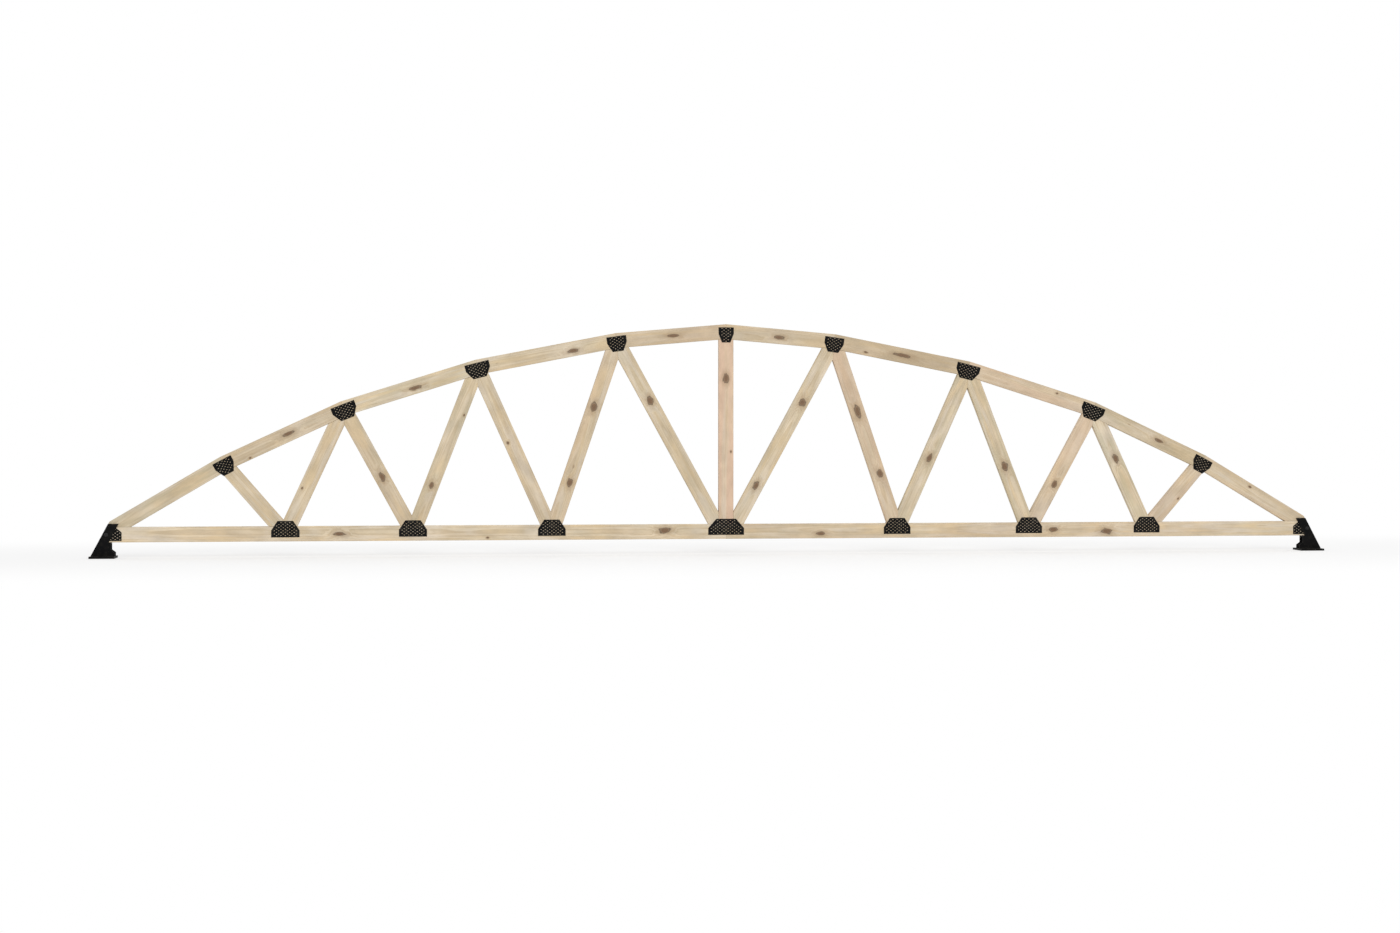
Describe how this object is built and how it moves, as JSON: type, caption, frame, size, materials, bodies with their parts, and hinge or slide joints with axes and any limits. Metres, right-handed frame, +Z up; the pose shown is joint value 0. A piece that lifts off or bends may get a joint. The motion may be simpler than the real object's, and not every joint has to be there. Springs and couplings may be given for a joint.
{
  "type": "wooden roof truss",
  "caption": "Bowed wooden roof truss with a curved top chord, straight bottom chord and slanted webs, joined by black toothed plates and standing on steel bearing shoes.",
  "frame": {"origin": "middle of the span and of the thickness, at floor level under the bearing shoes", "axes": "+X along the span to the right, +Y through the thickness to the back, +Z up"},
  "size_m": [7.453, 0.14, 1.3811],
  "materials": {
    "lumber": "planed, unfinished",
    "black_steel": "satin black",
    "black_bolts": "black oxide"
  },
  "bodies": {
    "root": {"bottom_chord_left": "lumber", "bottom_chord_right": "lumber", "top_chord_1": "lumber", "top_chord_2": "lumber", "top_chord_3": "lumber", "top_chord_4": "lumber", "top_chord_5": "lumber", "top_chord_6": "lumber", "top_chord_7": "lumber", "top_chord_8": "lumber", "top_chord_9": "lumber", "top_chord_10": "lumber", "web_1": "lumber", "web_2": "lumber", "web_3": "lumber", "web_4": "lumber", "web_5": "lumber", "web_6": "lumber", "web_7": "lumber", "web_8": "lumber", "web_9": "lumber", "web_10": "lumber", "web_11": "lumber", "web_12": "lumber", "web_13": "lumber", "web_14": "lumber", "king_post": "lumber", "heel_plates_left": "black_steel", "heel_plates_right": "black_steel", "top_plates_1": "black_steel", "top_plates_2": "black_steel", "top_plates_3": "black_steel", "top_plates_4": "black_steel", "top_plates_5": "black_steel", "top_plates_6": "black_steel", "top_plates_7": "black_steel", "top_plates_8": "black_steel", "top_plates_9": "black_steel", "bottom_plates_1": "black_steel", "bottom_plates_2": "black_steel", "bottom_plates_3": "black_steel", "bottom_plates_4": "black_steel", "bottom_plates_5": "black_steel", "bottom_plates_6": "black_steel", "bottom_plates_7": "black_steel", "bearing_shoe_left": "black_steel", "bearing_shoe_right": "black_steel", "heel_bolt_left": "black_bolts", "heel_bolt_right": "black_bolts", "heel_nut_left": "black_bolts", "heel_nut_right": "black_bolts"}
  },
  "joints": []
}
